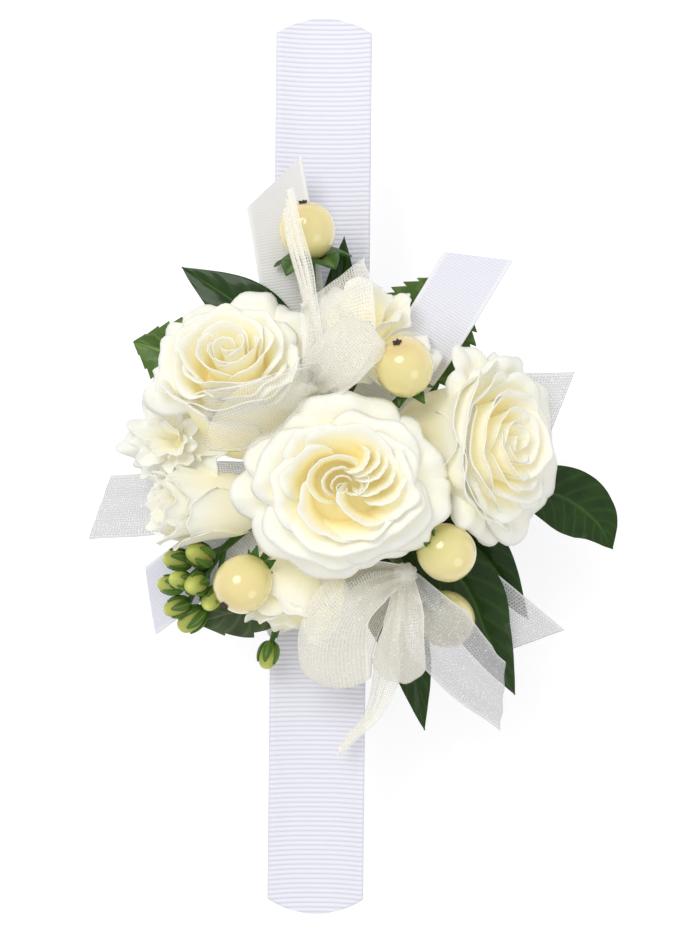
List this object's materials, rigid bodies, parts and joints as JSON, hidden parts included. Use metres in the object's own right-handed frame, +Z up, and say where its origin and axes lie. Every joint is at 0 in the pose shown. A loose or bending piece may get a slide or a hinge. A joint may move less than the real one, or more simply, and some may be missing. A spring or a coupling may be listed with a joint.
{
  "type": "wrist corsage",
  "caption": "Wrist corsage of cream roses, stock, berries, glossy leaves and sheer bows on a ribbon-covered snap band that curls round the wrist.",
  "frame": {"origin": "middle of the band's underside, on the flat strip that lies on the wrist", "axes": "+Y along the straight band towards the end at the top of the picture, +X to the right in the picture, +Z up from the wrist towards the blooms"},
  "size_m": [0.1414, 0.235, 0.0538],
  "materials": {
    "sleeve": "ribbed matte",
    "spring": "rolled",
    "adhesive": "set glue",
    "tape": "waxed crepe",
    "petal": "soft satin",
    "stem": "matte",
    "berry": "glossy",
    "bud": "downy",
    "glossy_leaf": "glossy",
    "matte_leaf": "satin",
    "grosgrain": "ribbed matte",
    "organza": "sheer with a fine glitter",
    "wire": "paper covered"
  },
  "bodies": {
    "center": {"sleeve_center": "sleeve", "spring_center": "spring", "adhesive_pad": "adhesive", "stem_bundle": "tape", "berry_top": "berry", "berry_upper": "berry", "berry_left": "berry", "berry_right": "berry", "berry_lower": "berry", "rose_center": "petal", "rose_left": "petal", "rose_right": "petal", "rose_top": "petal", "rose_lower": "petal", "floret_left": "petal", "floret_lower_left": "petal", "calyx_center": "stem", "calyx_left": "stem", "calyx_right": "stem", "bud_spray": "bud", "bud_lower": "bud", "bow_wire_upper": "wire", "bow_upper": "organza", "bow_wire_lower": "wire", "bow_lower": "organza", "leaf_upper_left": "glossy_leaf", "leaf_left": "matte_leaf", "leaf_top": "glossy_leaf", "leaf_upper_right": "matte_leaf", "leaf_right": "glossy_leaf", "leaf_lower_right": "glossy_leaf", "leaf_lower_right_back": "glossy_leaf", "leaf_bottom": "glossy_leaf", "leaf_lower_left": "matte_leaf", "grosgrain_upper_left": "grosgrain", "grosgrain_upper_right": "grosgrain", "grosgrain_lower_left": "grosgrain", "organza_right": "organza", "organza_left": "organza", "organza_lower_right": "organza"},
    "upper_1": {"sleeve_upper_1": "sleeve", "spring_upper_1": "spring"},
    "upper_2": {"sleeve_upper_2": "sleeve", "spring_upper_2": "spring"},
    "upper_3": {"sleeve_upper_3": "sleeve", "spring_upper_3": "spring"},
    "upper_4": {"sleeve_upper_4": "sleeve", "spring_upper_4": "spring"},
    "upper_5": {"sleeve_upper_5": "sleeve", "spring_upper_5": "spring"},
    "lower_1": {"sleeve_lower_1": "sleeve", "spring_lower_1": "spring"},
    "lower_2": {"sleeve_lower_2": "sleeve", "spring_lower_2": "spring"},
    "lower_3": {"sleeve_lower_3": "sleeve", "spring_lower_3": "spring"},
    "lower_4": {"sleeve_lower_4": "sleeve", "spring_lower_4": "spring"},
    "lower_5": {"sleeve_lower_5": "sleeve", "spring_lower_5": "spring"}
  },
  "joints": [
    {"name": "upper_curl", "type": "hinge", "parent": "center", "child": "upper_1", "pos_m": [0, 0.0175, 0], "axis": [-1, 0, 0], "range_deg": [0, 56]},
    {"name": "upper_curl_2", "type": "hinge", "parent": "upper_1", "child": "upper_2", "pos_m": [0, 0.0375, 0], "axis": [-1, 0, 0], "range_deg": [0, 56]},
    {"name": "upper_curl_3", "type": "hinge", "parent": "upper_2", "child": "upper_3", "pos_m": [0, 0.0575, 0], "axis": [-1, 0, 0], "range_deg": [0, 52]},
    {"name": "upper_curl_4", "type": "hinge", "parent": "upper_3", "child": "upper_4", "pos_m": [0, 0.0775, 0], "axis": [-1, 0, 0], "range_deg": [0, 44]},
    {"name": "upper_curl_5", "type": "hinge", "parent": "upper_4", "child": "upper_5", "pos_m": [0, 0.0975, 0], "axis": [-1, 0, 0], "range_deg": [0, 40]},
    {"name": "lower_curl", "type": "hinge", "parent": "center", "child": "lower_1", "pos_m": [0, -0.0175, 0], "axis": [1, 0, 0], "range_deg": [0, 46]},
    {"name": "lower_curl_2", "type": "hinge", "parent": "lower_1", "child": "lower_2", "pos_m": [0, -0.0375, 0], "axis": [1, 0, 0], "range_deg": [0, 48]},
    {"name": "lower_curl_3", "type": "hinge", "parent": "lower_2", "child": "lower_3", "pos_m": [0, -0.0575, 0], "axis": [1, 0, 0], "range_deg": [0, 46]},
    {"name": "lower_curl_4", "type": "hinge", "parent": "lower_3", "child": "lower_4", "pos_m": [0, -0.0775, 0], "axis": [1, 0, 0], "range_deg": [0, 30]},
    {"name": "lower_curl_5", "type": "hinge", "parent": "lower_4", "child": "lower_5", "pos_m": [0, -0.0975, 0], "axis": [1, 0, 0], "range_deg": [0, 20]}
  ],
  "couplings": [
    {"joint": "upper_curl_2", "follows": "upper_curl", "ratio": 1},
    {"joint": "upper_curl_3", "follows": "upper_curl", "ratio": 0.92857},
    {"joint": "upper_curl_4", "follows": "upper_curl", "ratio": 0.78571},
    {"joint": "upper_curl_5", "follows": "upper_curl", "ratio": 0.71428},
    {"joint": "lower_curl_2", "follows": "lower_curl", "ratio": 1.0435},
    {"joint": "lower_curl_3", "follows": "lower_curl", "ratio": 1},
    {"joint": "lower_curl_4", "follows": "lower_curl", "ratio": 0.65217},
    {"joint": "lower_curl_5", "follows": "lower_curl", "ratio": 0.43478}
  ]
}
